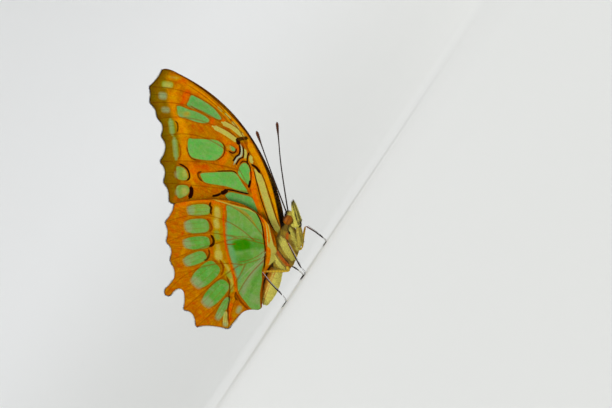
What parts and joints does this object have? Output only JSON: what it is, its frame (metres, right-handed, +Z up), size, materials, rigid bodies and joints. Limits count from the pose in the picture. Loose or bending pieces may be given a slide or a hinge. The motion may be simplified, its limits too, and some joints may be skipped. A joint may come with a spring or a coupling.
{
  "type": "malachite butterfly",
  "caption": "Life-size malachite butterfly standing with its wings shut over its back, with scalloped margins, raised veins and a short tail on each hindwing.",
  "frame": {"origin": "bottom centre of the whole butterfly's box, on the floor that its feet stand on", "axes": "+X towards the head, +Y the butterfly's left, +Z up, with the wings upright"},
  "size_m": [0.0532, 0.0142, 0.0537],
  "materials": {
    "forewing_scales": "matte wing scales, orange-brown below with green windows, brown-black and green above",
    "hindwing_scales": "matte wing scales, green below with an orange margin, brown-black and green above",
    "body_fur": "short soft fur, cream and orange below, dark above",
    "head_fur": "short dark fur with yellow hairs",
    "palp_fur": "cream scales with a dark line",
    "eye": "glossy orange-brown compound eye",
    "antenna": "dark brown, reddish at the tip of the club",
    "leg": "orange-yellow thighs and dark brown shins and feet",
    "proboscis": "dark brown coiled tongue"
  },
  "bodies": {
    "root": {"thorax": "body_fur", "abdomen": "body_fur", "head": "head_fur", "eye_left": "eye", "eye_right": "eye", "antenna_left": "antenna", "antenna_right": "antenna", "palp_left": "palp_fur", "palp_right": "palp_fur", "proboscis": "proboscis", "foreleg_left": "leg", "foreleg_right": "leg", "midleg_left": "leg", "midleg_right": "leg", "hindleg_left": "leg", "hindleg_right": "leg", "forewing_left": "forewing_scales", "forewing_right": "forewing_scales", "hindwing_left": "hindwing_scales", "hindwing_right": "hindwing_scales"}
  },
  "joints": []
}
